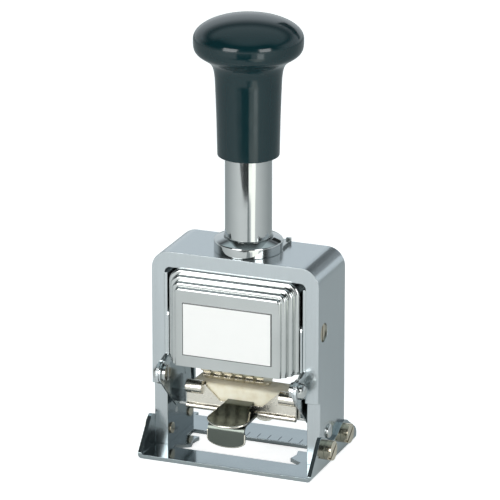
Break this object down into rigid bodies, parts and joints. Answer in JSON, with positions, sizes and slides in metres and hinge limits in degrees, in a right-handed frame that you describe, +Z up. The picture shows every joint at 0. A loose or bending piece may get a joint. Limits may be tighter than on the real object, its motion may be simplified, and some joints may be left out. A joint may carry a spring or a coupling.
{
  "type": "numbering machine",
  "caption": "Hand-pressed metal numbering machine: a knob-topped plunger drives a stepped head of numbering wheels through a frame, and a swinging felt pad inks them.",
  "frame": {"origin": "on the plunger's axis and on the table, which is the middle of the object's footprint within a millimetre", "axes": "+X to the right seen from the front, -Y to the front (label and finger tabs), +Z up along the plunger"},
  "size_m": [0.0698, 0.0457, 0.1579],
  "materials": {
    "base_plate": "polished chrome plate",
    "frame_yoke": "satin nickel with a fine vertical grain",
    "guide_bush": "polished",
    "key_pin": "plain steel",
    "spring_seat": "plain steel",
    "side_plate_left": "plated sheet",
    "side_plate_right": "plated sheet",
    "side_screws": "dull plated brass",
    "pad_pivot_screws": "polished",
    "base_screws": "polished",
    "leg_rivets": "polished",
    "lock_slide": "polished sheet",
    "handle_knob": "black, glossy",
    "knob_stud": "plain plated steel",
    "plunger_tube": "polished chrome",
    "tube_plug": "plain plated steel",
    "tube_flange": "plain plated steel",
    "hanger_nut": "plain plated steel",
    "head_case": "polished chrome sheet",
    "front_cover": "polished chrome, drawn in steps",
    "back_cover": "polished chrome sheet",
    "label_plate": "white, bare",
    "wheel_hanger": "plain plated steel",
    "wheel_shaft": "plain plated steel",
    "shaft_clips": "plain plated steel",
    "wheel_spacers": "turned",
    "detent_comb": "plain plated steel",
    "cam_pins": "plain plated steel",
    "return_spring": "plain plated steel",
    "ink_arm_left": "plain plated steel",
    "ink_arm_right": "plain plated steel",
    "ink_tray": "plain plated steel",
    "pad_holder": "nickel-plated sheet",
    "ink_pad": "undyed felt",
    "upper_finger_tab": "dark polished sheet",
    "lower_finger_tab": "dark polished sheet",
    "type_wheel_1": "nickel-plated brass, worn",
    "type_wheel_2": "nickel-plated brass, worn",
    "type_wheel_3": "nickel-plated brass, worn",
    "type_wheel_4": "nickel-plated brass, worn",
    "type_wheel_5": "nickel-plated brass, worn",
    "type_wheel_6": "nickel-plated brass, worn",
    "pawl_arms": "plain plated steel",
    "pawl_comb": "plain plated steel",
    "index_rod": "plain plated steel",
    "selector_knob": "black"
  },
  "bodies": {
    "frame": {"base_plate": "base_plate", "frame_yoke": "frame_yoke", "guide_bush": "guide_bush", "key_pin": "key_pin", "spring_seat": "spring_seat", "side_plate_left": "side_plate_left", "side_plate_right": "side_plate_right", "side_screws": "side_screws", "pad_pivot_screws": "pad_pivot_screws", "base_screws": "base_screws", "leg_rivets": "leg_rivets", "return_spring": "return_spring"},
    "lock": {"lock_slide": "lock_slide"},
    "press_head": {"handle_knob": "handle_knob", "knob_stud": "knob_stud", "plunger_tube": "plunger_tube", "tube_plug": "tube_plug", "tube_flange": "tube_flange", "hanger_nut": "hanger_nut", "head_case": "head_case", "front_cover": "front_cover", "back_cover": "back_cover", "label_plate": "label_plate", "wheel_hanger": "wheel_hanger", "wheel_shaft": "wheel_shaft", "shaft_clips": "shaft_clips", "wheel_spacers": "wheel_spacers", "detent_comb": "detent_comb", "cam_pins": "cam_pins"},
    "ink_carrier": {"ink_arm_left": "ink_arm_left", "ink_arm_right": "ink_arm_right", "ink_tray": "ink_tray"},
    "pad_drawer": {"pad_holder": "pad_holder", "ink_pad": "ink_pad", "upper_finger_tab": "upper_finger_tab", "lower_finger_tab": "lower_finger_tab"},
    "pawl_carrier": {"pawl_arms": "pawl_arms", "pawl_comb": "pawl_comb", "index_rod": "index_rod"},
    "selector": {"selector_knob": "selector_knob"},
    "wheel_1": {"type_wheel_1": "type_wheel_1"},
    "wheel_2": {"type_wheel_2": "type_wheel_2"},
    "wheel_3": {"type_wheel_3": "type_wheel_3"},
    "wheel_4": {"type_wheel_4": "type_wheel_4"},
    "wheel_5": {"type_wheel_5": "type_wheel_5"},
    "wheel_6": {"type_wheel_6": "type_wheel_6"}
  },
  "joints": [
    {"name": "plunger_press", "type": "slide", "parent": "frame", "child": "press_head", "axis": [0, 0, -1], "range_m": [0, 0.0246], "stiffness_N_per_m": 250, "springref_m": -0.02, "deforming": ["return_spring"]},
    {"name": "ink_swing", "type": "hinge", "parent": "frame", "child": "ink_carrier", "pos_m": [0, -0.018, 0.0311], "axis": [-1, 0, 0], "range_deg": [0, 115.01]},
    {"name": "pawl_turn", "type": "hinge", "parent": "press_head", "child": "pawl_carrier", "pos_m": [0, 0, 0.035], "axis": [-1, 0, 0], "range_deg": [0, 36.01]},
    {"name": "lock_push", "type": "slide", "parent": "frame", "child": "lock", "axis": [0, -1, 0], "range_m": [0, 0.0015]},
    {"name": "pad_pull", "type": "slide", "parent": "ink_carrier", "child": "pad_drawer", "axis": [0, -1, 0], "range_m": [0, 0.012]},
    {"name": "selector_turn", "type": "hinge", "parent": "press_head", "child": "selector", "pos_m": [0.009, 0, 0.054], "axis": [0, 1, 0], "range_deg": [0, 180]},
    {"name": "wheel_1_turn", "type": "hinge", "parent": "press_head", "child": "wheel_1", "pos_m": [0, 0, 0.035], "axis": [1, 0, 0], "continuous": true},
    {"name": "wheel_2_turn", "type": "hinge", "parent": "press_head", "child": "wheel_2", "pos_m": [0, 0, 0.035], "axis": [1, 0, 0], "continuous": true},
    {"name": "wheel_3_turn", "type": "hinge", "parent": "press_head", "child": "wheel_3", "pos_m": [0, 0, 0.035], "axis": [1, 0, 0], "continuous": true},
    {"name": "wheel_4_turn", "type": "hinge", "parent": "press_head", "child": "wheel_4", "pos_m": [0, 0, 0.035], "axis": [1, 0, 0], "continuous": true},
    {"name": "wheel_5_turn", "type": "hinge", "parent": "press_head", "child": "wheel_5", "pos_m": [0, 0, 0.035], "axis": [1, 0, 0], "continuous": true},
    {"name": "wheel_6_turn", "type": "hinge", "parent": "press_head", "child": "wheel_6", "pos_m": [0, 0, 0.035], "axis": [1, 0, 0], "continuous": true}
  ],
  "couplings": [
    {"joint": "ink_swing", "follows": "plunger_press", "rad_per_m": 81.591},
    {"joint": "pawl_turn", "follows": "plunger_press", "rad_per_m": 25.541}
  ]
}
